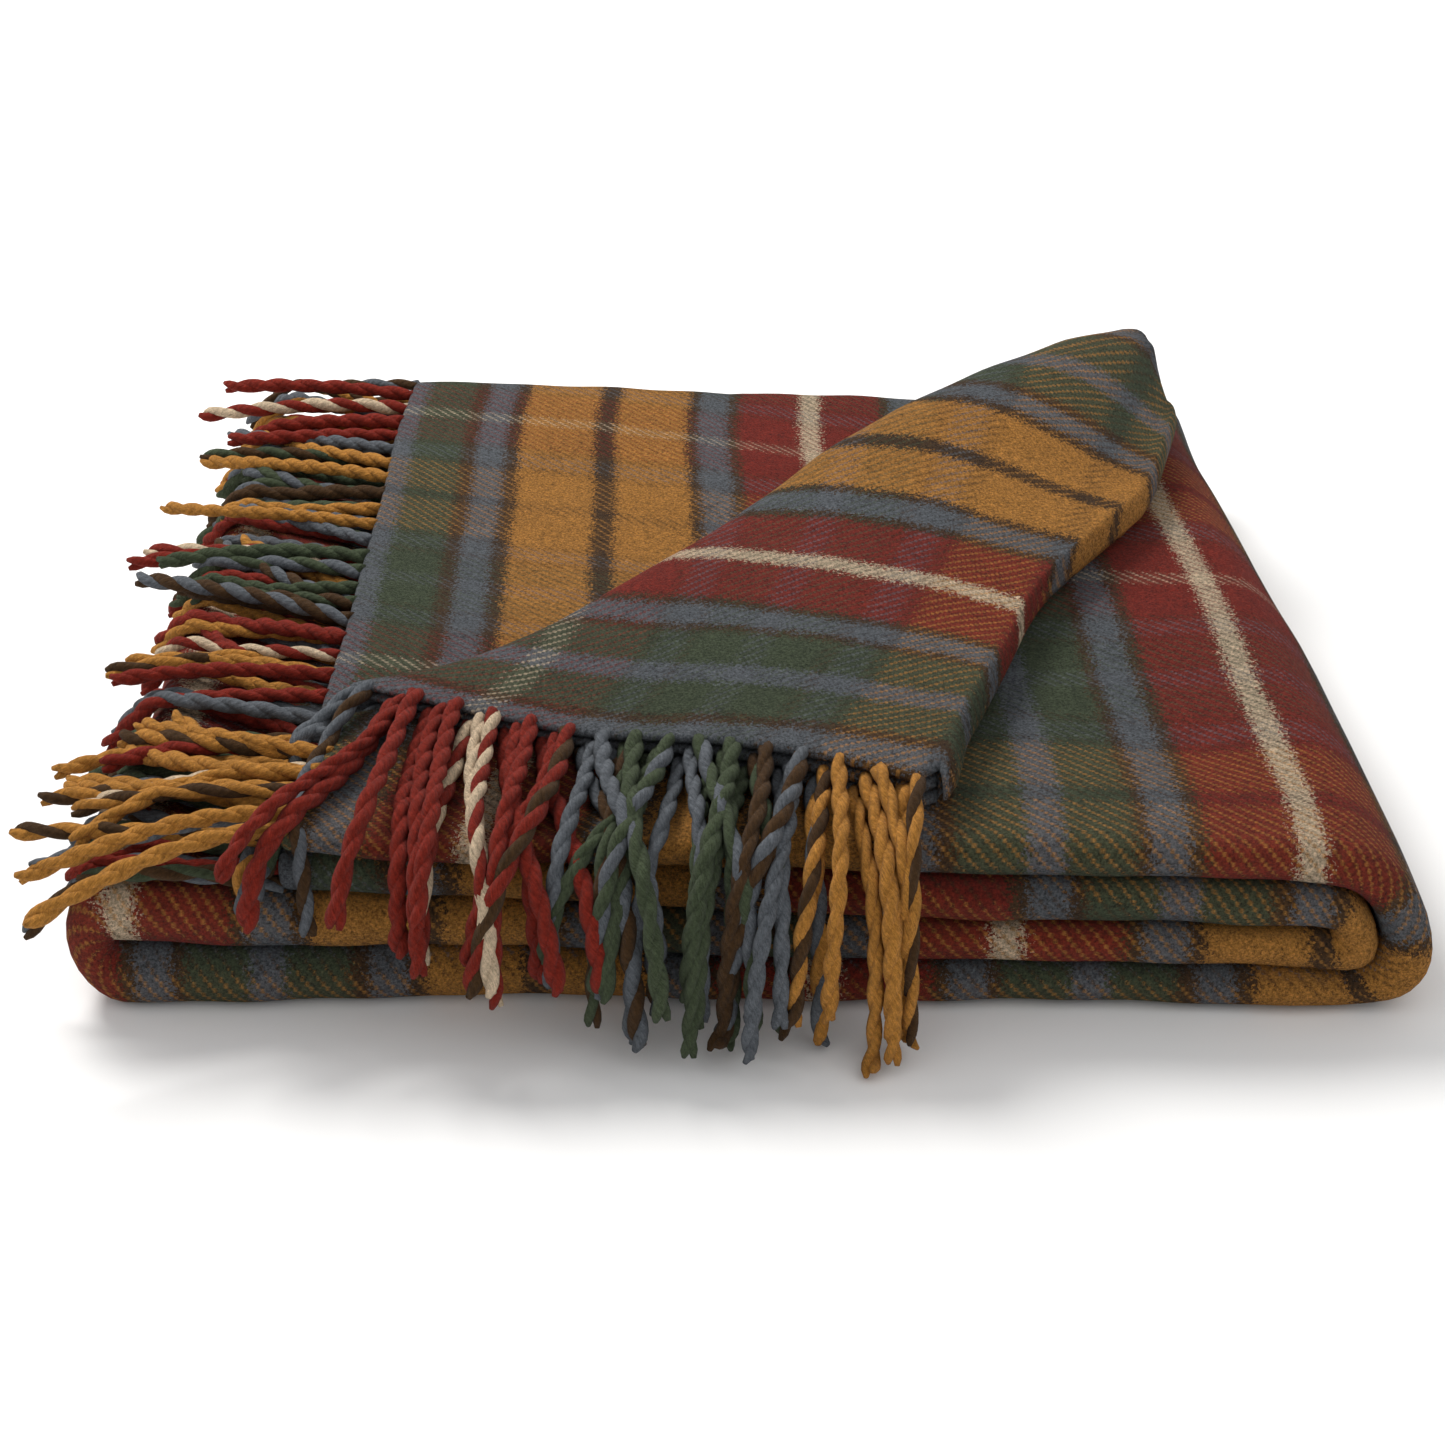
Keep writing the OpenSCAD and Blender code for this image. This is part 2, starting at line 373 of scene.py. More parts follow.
class Nodes:
    """Short words for building a node tree."""

    def __init__(self, tree):
        self.tree = tree

    def add(self, kind, **settings):
        node = self.tree.nodes.new(kind)
        for key, value in settings.items():
            setattr(node, key, value)
        return node

    def link(self, a, b):
        self.tree.links.new(a, b)

    def feed(self, value, socket):
        if hasattr(value, "is_output"):
            self.link(value, socket)
        else:
            socket.default_value = value

    def math(self, operation, a, b=0.0, c=0.0, clamp=False):
        node = self.add("ShaderNodeMath", operation=operation, use_clamp=clamp)
        for value, socket in zip((a, b, c), node.inputs):
            self.feed(value, socket)
        return node.outputs[0]

    def noise(self, vector, scale, detail=2.0, roughness=0.5):
        node = self.add("ShaderNodeTexNoise")
        self.link(vector, node.inputs["Vector"])
        node.inputs["Scale"].default_value = scale
        node.inputs["Detail"].default_value = detail
        node.inputs["Roughness"].default_value = roughness
        return node.outputs["Fac"]

    def mix(self, factor, a, b, blend="MIX"):
        node = self.add("ShaderNodeMix", data_type="RGBA", blend_type=blend)
        self.feed(factor, node.inputs[0])
        self.feed(a, node.inputs[6])
        self.feed(b, node.inputs[7])
        return node.outputs[2]

    def sett_colour(self, place):
        """The dye at a place in the sett, in millimetres."""
        share = self.math("FRACT", self.math("DIVIDE", place, REPEAT))
        ramp = self.add("ShaderNodeValToRGB")
        ramp.color_ramp.interpolation = "CONSTANT"
        stops = ramp.color_ramp.elements
        position = 0
        for k, (dye, width) in enumerate(SETT):
            stop = stops[k] if k < 2 else stops.new(position / REPEAT)
            stop.position = position / REPEAT
            stop.color = (*DYES[dye], 1)
            position += width
        self.link(share, ramp.inputs[0])
        return ramp.outputs[0]


WOOL = {"Roughness": 0.92, "Specular IOR Level": 0.06, "Sheen Weight": 0.05, "Sheen Roughness": 0.45}


def wool_shader(n, colour, height, distance, strength):
    """Brushed wool: rough, with a soft sheen on the shader's own sockets and a fine bump."""
    shader = n.add("ShaderNodeBsdfPrincipled")
    n.link(colour, shader.inputs["Base Color"])
    for socket, value in WOOL.items():
        shader.inputs[socket].default_value = value
    bump = n.add("ShaderNodeBump")
    bump.inputs["Strength"].default_value = strength
    bump.inputs["Distance"].default_value = distance
    n.link(height, bump.inputs["Height"])
    n.link(bump.outputs[0], shader.inputs["Normal"])
    out = n.add("ShaderNodeOutputMaterial")
    n.link(shader.outputs[0], out.inputs[0])


def tartan_material():
    """2/2 twill in the sett, both ways, under a brushed nap that blurs the threads."""
    material, tree = node_tree("tartan_twill")
    n = Nodes(tree)
    place = n.add("ShaderNodeAttribute", attribute_name="cloth").outputs["Vector"]
    parts = n.add("ShaderNodeSeparateXYZ")
    n.link(place, parts.inputs[0])
    weft, warp = parts.outputs[0], parts.outputs[1]
    body = n.add("ShaderNodeTexCoord").outputs["Object"]
    drift = n.noise(body, 820, 4, 0.72)
    drift_b = n.noise(body, 900, 4, 0.72)
    weft_soft = n.math("ADD", weft, n.math("MULTIPLY", n.math("SUBTRACT", drift, 0.5), 24.0))
    warp_soft = n.math("ADD", warp, n.math("MULTIPLY", n.math("SUBTRACT", drift_b, 0.5), 24.0))
    weft_colour = n.sett_colour(weft_soft)
    warp_colour = n.sett_colour(warp_soft)
    # Diagonal ribs, stepped thread by thread
    row = n.math("MULTIPLY", n.math("FLOOR", n.math("DIVIDE", warp, THREAD)), THREAD)
    diagonal = n.math("FRACT", n.math("DIVIDE", n.math("ADD", weft, row), 4 * THREAD))
    rib = n.math("MULTIPLY", n.math("ABSOLUTE", n.math("SUBTRACT", diagonal, 0.5)), 2)
    fuzz = n.noise(body, 900, 4, 0.7)
    rib_fuzzy = n.math("ADD", rib, n.math("MULTIPLY", n.math("SUBTRACT", fuzz, 0.5), 0.9))
    face = n.math("MULTIPLY", n.math("SUBTRACT", rib_fuzzy, 0.60), 3.0, clamp=True)
    face = n.math("MULTIPLY_ADD", face, 0.58, 0.04)
    colour = n.mix(face, weft_colour, warp_colour)
    # Nap: pale and dark fibres, and slow wear over the cloth, with painted shade in the twill's grooves
    fibre = n.noise(body, 980, 5, 0.85)
    mottle = n.noise(body, 300, 3, 0.7)
    shade = n.math("MULTIPLY_ADD", fibre, 5.2, -2.1)
    shade = n.math("MULTIPLY_ADD", mottle, 1.0, shade)
    shade = n.math("MAXIMUM", shade, 0.25)
    slow = n.math("MULTIPLY_ADD", n.noise(body, 28, 3, 0.6), 0.36, 0.82)
    shade = n.math("MULTIPLY", shade, slow)
    # Painted shade: the colour is darkened in the twill's grooves, and the same pattern also lowers the bump
    # there
    groove = n.math("MULTIPLY_ADD", n.math("ABSOLUTE", n.math("SUBTRACT", rib, 0.5)), 0.30, 0.86)
    shade = n.math("MULTIPLY", shade, groove)
    grey = n.add("ShaderNodeCombineColor")
    for socket in grey.inputs[:3]:
        n.link(shade, socket)
    colour = n.mix(1.0, colour, grey.outputs[0], "MULTIPLY")
    height = n.math("ADD", n.math("MULTIPLY", groove, 1.0), n.math("MULTIPLY", fibre, 2.4))
    height = n.math("ADD", height, n.math("MULTIPLY", n.noise(body, 170, 3, 0.6), 1.6))
    wool_shader(n, colour, height, 0.0012, 0.9)
    return material


def yarn_material():
    """Fringe yarn in the colour of its own place in the sett. cloth holds the place, the run and the turn."""
    material, tree = node_tree("fringe_yarn")
    n = Nodes(tree)
    place = n.add("ShaderNodeAttribute", attribute_name="cloth").outputs["Vector"]
    parts = n.add("ShaderNodeSeparateXYZ")
    n.link(place, parts.inputs[0])
    body = n.add("ShaderNodeTexCoord").outputs["Object"]
    colour = n.sett_colour(parts.outputs[0])
    # Fine fibres run along the strand on a slow helix
    helix = n.math("MULTIPLY_ADD", parts.outputs[1], 0.9, n.math("MULTIPLY", parts.outputs[2], 2.4))
    lengthwise = n.add("ShaderNodeCombineXYZ")
    n.link(n.math("MULTIPLY", parts.outputs[1], 0.22), lengthwise.inputs[0])
    n.link(helix, lengthwise.inputs[1])
    n.link(parts.outputs[0], lengthwise.inputs[2])
    fibre = n.noise(lengthwise.outputs[0], 1.7, 4, 0.75)
    nap = n.noise(body, 1100, 4, 0.8)
    slow = n.noise(body, 160, 2, 0.5)
    # Painted shade between the plies: a helical wave that darkens the colour where the plies part, and also
    # feeds the bump
    ply = n.math("SINE", n.math("ADD", n.math("MULTIPLY", parts.outputs[1], 2.1),
                                n.math("MULTIPLY", parts.outputs[2], 3.0)))
    shade = n.math("MULTIPLY_ADD", fibre, 2.0, -0.85)
    shade = n.math("MULTIPLY_ADD", nap, 1.7, shade)
    shade = n.math("MAXIMUM", shade, 0.2)
    shade = n.math("MULTIPLY", shade, n.math("MULTIPLY_ADD", slow, 0.5, 0.75))
    # Painted shade from the ply wave
    shade = n.math("MULTIPLY", shade, n.math("MULTIPLY_ADD", ply, 0.07, 0.95))
    grey = n.add("ShaderNodeCombineColor")
    for socket in grey.inputs[:3]:
        n.link(shade, socket)
    colour = n.mix(1.0, colour, grey.outputs[0], "MULTIPLY")
    height = n.math("ADD", n.math("MULTIPLY", fibre, 1.5), n.math("MULTIPLY", nap, 0.8))
    height = n.math("ADD", height, n.math("MULTIPLY", ply, 0.2))
    wool_shader(n, colour, height, 0.0010, 0.8)
    return material


# ---------------------------------------------------------------- camera, floor and light


def make_camera():
    data = bpy.data.cameras.new("camera")
    data.sensor_width = 36
    data.lens = 64.28
    camera = bpy.data.objects.new("camera", data)
    camera.location = (-0.0015, -0.9375, 0.523)
    camera.rotation_euler = Euler((math.radians(60.5), 0, math.radians(0.233)))
    bpy.context.scene.collection.objects.link(camera)
    bpy.context.scene.camera = camera


def make_stage():
    bpy.ops.mesh.primitive_plane_add(size=12, location=(0, 0, -0.0005))
    floor = bpy.context.object
    floor.name = "floor"
    material = bpy.data.materials.new("floor_white")
    material.use_nodes = True
    shader = material.node_tree.nodes["Principled BSDF"]
    shader.inputs["Base Color"].default_value = (0.92, 0.92, 0.92, 1)
    shader.inputs["Roughness"].default_value = 0.9
    floor.data.materials.append(material)


def area_light(name, place, target, size, power, colour=(1, 1, 1)):
    data = bpy.data.lights.new(name, "AREA")
    data.shape = "DISK"
    data.size = size
    data.energy = power
    data.color = colour
    light = bpy.data.objects.new(name, data)
    light.location = place
    light.rotation_euler = (Vector(target) - Vector(place)).to_track_quat("-Z", "Y").to_euler()
    bpy.context.scene.collection.objects.link(light)


def make_light():
    world = bpy.data.worlds.new("studio")
    world.use_nodes = True
    background = world.node_tree.nodes["Background"]
    background.inputs[0].default_value = (1, 1, 1, 1)
    background.inputs[1].default_value = 0.68
    bpy.context.scene.world = world
    area_light("key", (-0.9, 0.9, 1.7), (0, 0, 0.03), 1.0, 43, (1, 0.98, 0.95))
    area_light("fill", (1.0, -1.1, 1.4), (0, 0, 0.03), 1.6, 2.5)


# ---------------------------------------------------------------- the leaves and folds


def a_skew(x):
    """How far the second leaf's cross stripes lie from square, at each x."""
    return 50.9 - 0.18 * x


def a_skew_fading(x):
    """The second leaf's slant, which dies away as the cloth runs left in the third leaf."""
    at_right = a_skew(RIGHT_X)
    return at_right * smooth((x - 40) / (RIGHT_X - 40))


# Where the sett lies on each leaf: a place in the sett, and the x where that place is
FRINGE_PLACE = 24
CREAM_PLACE = 214.75
TOP_CREAM_X = 182.5
THIRD_CREAM_X = 86.8
BOTTOM_PLACE, BOTTOM_X = 81, -106.5
INNER_END_PLACE = 117.4

tartan = tartan_material()
yarn = yarn_material()
FOLD_Z = 2 * PITCH - (PITCH - LEAF_T) / 2
LEFT_FOLD_Z = FOLD_Z / 2


def finish_cloth(obj):
    obj.data.materials.append(tartan)
    return obj


def front_stretch(y):
    """How much wider the sett lies towards the front of the second leaf."""
    return 1 + 0.06 * smooth((BACK_Y - y) / (BACK_Y - FRONT_Y))


def second_leaf():
    path = straight(FRINGE_X + 1, RIGHT_X, LEVELS[2], start_free=True)
    heading = np.tile([0.0, 1.0], (len(path), 1))
    centre, normal, half, cloth = strip(path, heading, path[:, 0], start_free=True, skew=a_skew)
    cloth[..., 0] = FRINGE_PLACE + (centre[..., 0] - FRINGE_X) / front_stretch(centre[..., 1])
    sheet = settle_sheet((centre, normal, half, cloth))
    return finish_cloth(join_sheets("second_leaf_cloth", [sheet]))


def inner_right_fold():
    path, out = half_turn(RIGHT_X, FOLD_Z, PITCH / 2, 1, True, 9)
    share = np.linspace(0, 1, len(path))
    centre, normal, half, cloth = strip(path, out, share, skew=lambda x: a_skew(RIGHT_X) + 0 * x)
    first = FRINGE_PLACE + (RIGHT_X - FRINGE_X) / front_stretch(centre[0, :, 1]) - REPEAT
    cloth[..., 0] = first[None] * (1 - share[:, None]) + INNER_END_PLACE * share[:, None]
    sheet = settle_sheet((centre, normal, half, cloth))
    return finish_cloth(join_sheets("inner_right_fold_cloth", [sheet]))


def lower_leaves():
    third = straight(RIGHT_X, LEFT_X, LEVELS[1])
    turn, out = half_turn(LEFT_X, LEFT_FOLD_Z, PITCH / 2, -1, True, 13)
    bottom = straight(LEFT_X, RIGHT_X, LEVELS[0])
    path = np.concatenate([third, turn[1:-1], bottom])
    down = np.tile([0.0, -1.0], (len(third), 1))
    up = np.tile([0.0, 1.0], (len(bottom), 1))
    heading = np.concatenate([down, -out[1:-1], up])
    weft_third = CREAM_PLACE + (THIRD_CREAM_X - third[:, 0]) / 1.075
    weft_bottom = BOTTOM_PLACE + (bottom[:, 0] - BOTTOM_X) + 2 * REPEAT
    weft_turn = np.linspace(weft_third[-1], weft_bottom[0], len(turn))[1:-1]
    weft = np.concatenate([weft_third, weft_turn, weft_bottom])
    sheet = strip(path, heading, weft)
    fade = np.concatenate([a_skew_fading(third[:, 0]), np.zeros(len(turn) - 2 + len(bottom))])
    sheet[3][..., 1] -= fade[:, None] / WARP_SCALE
    sheet = settle_sheet(sheet)
    return finish_cloth(join_sheets("lower_leaves_cloth", [sheet]))


def outer_right_fold():
    path, out = half_turn(RIGHT_X, FOLD_Z, 1.5 * PITCH, 1, False, 21)
    first = BOTTOM_PLACE + (RIGHT_X - BOTTOM_X) - REPEAT
    last = CREAM_PLACE + (TOP_CREAM_X - RIGHT_X)
    weft = np.linspace(first, last, len(path))
    sheet = settle_sheet(strip(path, -out, weft))
    return finish_cloth(join_sheets("outer_right_fold_cloth", [sheet]))


def crease_x(y):
    """Left edge of the top leaf that isn't turned, at each y."""
    on_crease = CREASE[0] + (y - CREASE[1]) / math.tan(CREASE_TURN)
    return np.clip(on_crease, FRINGE_X + 1, RIGHT_X - 11)


def nose_shift(a, b):
    """The crease bows towards the front near its left end: how far to move points across it."""
    bow = 30 * np.exp(-((a - 60) / 95) ** 2) + 6 * smooth(a / 60) * smooth((300 - a) / 200)
    fall = smooth((170 - np.abs(b)) / 170)
    return bow * fall


def to_crease(p):
    rel = p[..., :2] - CREASE
    return rel @ ALONG, rel @ ACROSS


def shift_nose(points):
    a, b = to_crease(points)
    moved = points.copy()
    moved[..., :2] += nose_shift(a, b)[..., None] * ACROSS
    return moved


def top_leaf():
    path = straight(RIGHT_X, FRINGE_X + 1, LEVELS[3], end_free=True)
    heading = np.tile([0.0, -1.0], (len(path), 1))
    weft = CREAM_PLACE + (TOP_CREAM_X - path[:, 0])
    centre, normal, half, cloth = strip(path, heading, weft, left_of=crease_x)
    fringed = crease_x(SECTION[:, 0]) < FRINGE_X + 2
    run = np.abs(path[:, 0] - (FRINGE_X + 1))
    rounded = np.where(fringed[None], rounding(run, SKIN)[:, None], half)
    half = np.minimum(half, rounded)
    centre = shift_nose(centre)
    sheet = settle_sheet((centre, normal, half, cloth))
    return finish_cloth(join_sheets("top_leaf_cloth", [sheet]))


# ---------------------------------------------------------------- the turned corner

# Unit ways (along, across) that lead from the flap's fringe and from its long edge into the cloth
FRINGE_WAY = (0.878, -0.479)
EDGE_WAY = (-0.5015, -0.865)
# Places in the sett at the fringe and at the long edge, and where and how slowly the sett runs at the tip
FLAP_FRINGE_PLACE = 78
FLAP_EDGE_PLACE = 127
TIP_START = 325
TIP_PACE = 0.65


def roll_outer(a):
    """Outer radius of the roll along the crease: slim at the left, plump at the back right."""
    return 16 + 3.0 * smooth(a / 90) + 12.0 * smooth((a - 150) / 240) - 3.0 * smooth((a - 400) / 60)


def fringe_line(b):
    """How far along the crease the flap's fringe starts, at each distance across."""
    return 4 * float(smooth(1 - b / 60)) + 0.545 * b + 7 * math.sin(math.pi * min(b / 190, 1))


def long_edge(b):
    """How far along the crease the flap's long edge is, at each distance across, with its bulge."""
    bulge = 46 * np.exp(-((b - 62) / 42) ** 4) - 9 * smooth((b - 80) / 30) * smooth((190 - b) / 25)
    tip = 11 * np.exp(-((b / 28) ** 2))
    return CREASE_L - 1.713 * b + bulge + tip


def edge_depth(a):
    """The distance across from the crease to the long edge, at each place along."""
    depths = np.linspace(0, 200, 81)
    return np.maximum(np.interp(-a, -long_edge(depths), depths), 8)


def corner_surface():
    """The turned corner's middle surface as a grid of rows across the roll and columns along the crease,
    with its place (a, b) on the flat cloth."""
    turns = np.linspace(math.pi, 0, 17)
    flats = edge_lines(190, STEP, False, True)[1:]
    columns = np.concatenate([[0, 0.0008, 0.0025, 0.0055, 0.0096], np.linspace(0.02, 1, 64)])
    centre, flat_place = [], []
    mean_r = 12.0
    for t in turns:
        b_flat = -t * mean_r
        start = 4 - 8 * t / math.pi
        a = start + (CREASE_L - start) * columns
        r = roll_outer(a) - HALF
        b = -r * math.sin(t)
        z = LEVELS[3] - HALF + roll_outer(a) + r * math.cos(t)
        centre.append(np.stack([a, b, z], -1))
        flat_place.append(np.stack([a, np.full_like(a, b_flat)], -1))
    for b in flats:
        start = fringe_line(b)
        end = long_edge(b)
        a = start + (end - start) * columns
        share = np.clip(b / edge_depth(a), 0, 1)
        crown = 2 * (roll_outer(a) - HALF) + 1 - PITCH
        fall = (1 - share ** 2) ** 2
        z = LEVELS[3] + PITCH + crown * fall
        centre.append(np.stack([a, np.full_like(a, b), z], -1))
        flat_place.append(np.stack([a, np.full_like(a, b)], -1))
    return np.array(centre), np.array(flat_place), len(turns), flats


def corner_world(centre):
    """From (along, across, z) to x, y, z."""
    plan = CREASE + centre[..., 0:1] * ALONG + centre[..., 1:2] * ACROSS
    return np.concatenate([plan, centre[..., 2:3]], -1)


def corner_cloth(place):
    """The tartan's place on the turned corner: weft from the fringe, warp from the flap's long edge."""
    da = place[..., 0] - FLAP_CORNER[0]
    db = place[..., 1] - FLAP_CORNER[1]
    from_fringe = FRINGE_WAY[0] * da + FRINGE_WAY[1] * db
    # The cloth is drawn out at the tip, so the sett moves on more slowly there
    from_fringe = np.minimum(from_fringe, TIP_START + (from_fringe - TIP_START) * TIP_PACE)
    from_edge = EDGE_WAY[0] * da + EDGE_WAY[1] * db
    weft = FLAP_FRINGE_PLACE + REPEAT * 3 - from_fringe
    warp = FLAP_EDGE_PLACE + REPEAT * 3 - from_edge / 1.04
    return np.stack([weft, warp, 0 * da], -1)


def turned_corner():
    centre, place, roll_rows, flats = corner_surface()
    world = corner_world(centre)
    normal = numeric_normals(world)
    if normal[-1, 20, 2] < 0:
        normal = -normal
    cloth = corner_cloth(place)
    rows, cols = world.shape[:2]
    tangent_a = unit(np.gradient(world, axis=1))
    tangent_b = unit(np.gradient(world, axis=0))
    turn = np.concatenate([np.linspace(math.pi, 0, roll_rows), np.zeros(rows - roll_rows)])
    g = smooth(turn / (math.pi / 2))[:, None]
    edge_out = unit(tangent_a[:, -1] * (0.5 + 0.5 * g) + tangent_b[:, -1] * 0.865 * (1 - g))
    edge_point, edge_normal = world[:, -1], normal[:, -1]

    from_start = np.concatenate(
        [np.zeros((rows, 1)), np.cumsum(np.linalg.norm(np.diff(world, axis=1), axis=-1), axis=1)], 1)
    from_last = np.concatenate([np.full(roll_rows, 99.0), 190 - flats])
    half = np.minimum(rounding(from_start, SKIN), rounding(from_last, SKIN)[:, None])

    def with_fold(n_start, fold_points, fold_normals, back=None):
        """A ply at height n_start along the rows, carried on round the flap's long edge."""
        parts = [world + n_start * normal]
        ups = [normal * (1 if n_start > 0 else -1)]
        halves = [half]
        places = [cloth]
        edge_half = np.minimum(half[:, -1], rounding(from_last, SKIN))[:, None]
        reach = 0.0
        for (out, up), (out_n, up_n) in zip(fold_points, fold_normals):
            parts.append((edge_point + edge_out * out + edge_normal * up)[:, None])
            ups.append(unit(edge_out * out_n + edge_normal * up_n)[:, None])
            reach += 1.6
            halves.append(edge_half)
            places.append(cloth[:, -1:] - [0.4 * reach, -reach, 0])
        if back is not None:
            parts.append(world[:, ::-1] + back * normal[:, ::-1])
            ups.append(normal[:, ::-1])
            halves.append(half[:, ::-1])
            places.append(cloth[:, ::-1])
        return [np.concatenate(x, 1) for x in (parts, ups, halves, places)]

    wrap = np.linspace(0, WRAP_TURN, 9)[1:]
    outer = with_fold(
        PLY, [(PLY * math.sin(t), PLY * math.cos(t)) for t in wrap],
        [(math.sin(t), math.cos(t)) for t in wrap])
    outer[2][:, -1] = np.minimum(outer[2][:, -1], SKIN * 0.3)
    outer[2][:, -2] = np.minimum(outer[2][:, -2], SKIN * 0.8)
    small = PLY / 2
    tuck = np.linspace(0, math.pi, 7)[1:-1]
    inner = with_fold(
        -PLY, [(small * math.sin(t) - 4, -small - small * math.cos(t)) for t in tuck],
        [(math.sin(t), -math.cos(t)) for t in tuck], back=0.0)
    # The inner plies stop short of the long edge, inside the outer ply's round
    pull = smooth(np.linspace(0, 1, cols) * 8 - 7)[None, :, None] * 4 * edge_out[:, None]
    inner[0][:, :cols] -= pull
    inner[0][:, -cols:] -= pull[:, ::-1]
    sheets = []
    for grid, ups, halves, places in (outer, inner):
        sheets.append(settle_sheet((shift_nose(grid), ups, halves, places)))
    return finish_cloth(join_sheets("turned_corner_cloth", sheets))


# ---------------------------------------------------------------- the fringe

TASSEL_L = 97.0
STRAND_R = 2.05
STRAND_OUT = 1.0
TWIST = 24.0
RING_STEP = 2.4
# How far the tassels may spread past the front and the back of the stack
FRONT_REACH = 46
BACK_REACH = 18
STRAND_SIDES = 8


def lay(root, heading, length, support, rng, bend_r=16.0, off=4.0, wander=0.25, rise=0.0):
    """The line of a tassel from its root: it lies on the support, bends down where that ends and comes to
    rest on what is below. heading is its direction in plan, in radians. support gives heights at (x, y)."""
    ds = RING_STEP
    p = np.array(root, float)
    turn_rate = rng.uniform(-1, 1) * wander / 40
    turn_swing = rng.uniform(0.5, 1) * wander
    phase = rng.uniform(0, math.tau)
    pitch = rise
    points = [p.copy()]
    count = int(length / ds)
    for k in range(count):
        s = k * ds
        angle = heading + turn_rate * s + turn_swing * (math.sin(s / 26 + phase) - math.sin(phase)) * 0.6
        d = np.array([math.cos(angle) * math.cos(pitch), math.sin(angle) * math.cos(pitch), math.sin(pitch)])
        p = p + d * ds
        floor_z = float(support(p[0], p[1])) + off
        if p[2] <= floor_z + 0.2:
            ahead = float(support(p[0] + d[0] * 4, p[1] + d[1] * 4)) + off
            slope = math.atan2(ahead - floor_z, 4)
            if floor_z - p[2] < 9:
                p[2] = floor_z
                pitch = max(slope, -1.45) if slope < 0 else min(slope, 0.6)
            else:
                p = p + np.array([0, -1.6, 0])
                pitch = -1.45
        else:
            pitch = max(pitch - ds / bend_r * max(0.15, math.cos(pitch)), -1.5)
        points.append(p.copy())
    line = np.array(points)
    line[:, 1] = np.clip(line[:, 1], FRONT_Y - FRONT_REACH, BACK_Y + BACK_REACH)
    for _ in range(3):
        line[1:-1] = (line[:-2] + 2 * line[1:-1] + line[2:]) / 4
    return line


def carried_frames(line):
    """Two unit normals along a line, carried without twist."""
    tangent = unit(np.gradient(line, axis=0))
    side = np.cross(tangent[0], [0, 0, 1.0])
    if np.linalg.norm(side) < 0.1:
        side = np.cross(tangent[0], [0, 1.0, 0])
    sides = []
    for t in tangent:
        side = side - np.dot(side, t) * t
        side = side / np.linalg.norm(side)
        sides.append(side.copy())
    sides = np.array(sides)
    return sides, np.cross(tangent, sides)


def tassel_mesh(line, dyes, rng):
    """Two strands twisted round a line: (points, faces, cloth). dyes are the strands' places in the sett."""
    side, up = carried_frames(line)
    run = np.concatenate([[0], np.cumsum(np.linalg.norm(np.diff(line, axis=0), axis=1))])
    phase = rng.uniform(0, math.tau)
    twist = TWIST * rng.uniform(0.85, 1.2)
    thick = rng.uniform(0.92, 1.2)
    verts, faces, cloth = [], [], []
    around = np.linspace(0, math.tau, STRAND_SIDES, endpoint=False)
    end = np.clip((run[-1] - run) / 5.0, 0, 1)
    taper = 0.45 + 0.55 * np.sqrt(end)
    loose = 1 + 0.8 * np.clip(1 - (run[-1] - run) / 14.0, 0, 1) ** 2
    for strand in range(2):
        angle = phase + strand * math.pi + math.tau * run / twist
        middle = line + (side * np.cos(angle)[:, None] + up * np.sin(angle)[:, None]) * (
            STRAND_OUT * thick * loose)[:, None]
        s_side, s_up = carried_frames(middle)
        swell = 1 + 0.07 * np.sin(run / 5.1 + phase * 3 + strand)
        radius = STRAND_R * thick * taper * swell
        ring = middle[:, None] + radius[:, None, None] * (
            s_side[:, None] * np.cos(around)[None, :, None] + s_up[:, None] * np.sin(around)[None, :, None])
        start = sum(len(v) for v in verts)
        rows = len(line)
        verts.append(ring.reshape(-1, 3))
        place = np.stack(
            [np.full((rows, STRAND_SIDES), dyes[strand]), np.repeat(run[:, None], STRAND_SIDES, 1),
             np.repeat(around[None], rows, 0)], -1)
        cloth.append(place.reshape(-1, 3))
        for i in range(rows - 1):
            for k in range(STRAND_SIDES):
                a, b = i * STRAND_SIDES + k, i * STRAND_SIDES + (k + 1) % STRAND_SIDES
                faces.append([start + a, start + b, start + b + STRAND_SIDES, start + a + STRAND_SIDES])
        faces.append([start + k for k in reversed(range(STRAND_SIDES))])
        faces.append([start + (rows - 1) * STRAND_SIDES + k for k in range(STRAND_SIDES)])
    return np.concatenate(verts), faces, np.concatenate(cloth)


def fringe_object(name, tassels):
    """One object from a list of (line, dyes, rng)."""
    verts, faces, cloth, start = [], [], [], 0
    for line, dyes, rng in tassels:
        v, f, c = tassel_mesh(line, dyes, rng)
        verts.append(v)
        faces += [[k + start for k in face] for face in f]
        cloth.append(c)
        start += len(v)
    obj = make_object(name, np.concatenate(verts), faces, np.concatenate(cloth))
    obj.data.materials.append(yarn)
    return obj


def height_of(x, y, z):
    return settle(np.array([x, y, z], float))[..., 2]


def left_support(x, y):
    """Height of what lies under the side fringe: the second leaf, then the lower leaves, then the floor."""
    edge = LEFT_X - PITCH
    drop = max(edge + 17 - x, 0)
    if drop > 16.5:
        return 0.0
    top = height_of(max(x, edge + 17), y, 2 * PITCH)
    return top - (16.5 - math.sqrt(16.5 ** 2 - drop ** 2)) * 1.6


def front_support(x, y):
    """Height of what lies under the flap's fringe: the top leaf with its round front, then the floor."""
    round_y = FRONT_Y + 9
    if y < round_y - 8.9:
        return 0.0
    drop = max(round_y - y, 0)
    return height_of(x, max(y, round_y), STACK_TOP) - (9 - math.sqrt(81 - drop ** 2))


def twin_dyes(place, rng):
    """The sett places of a tassel's two strands, which come from neighbouring threads."""
    apart = rng.uniform(1.0, 4.6)
    return place - apart, place + apart


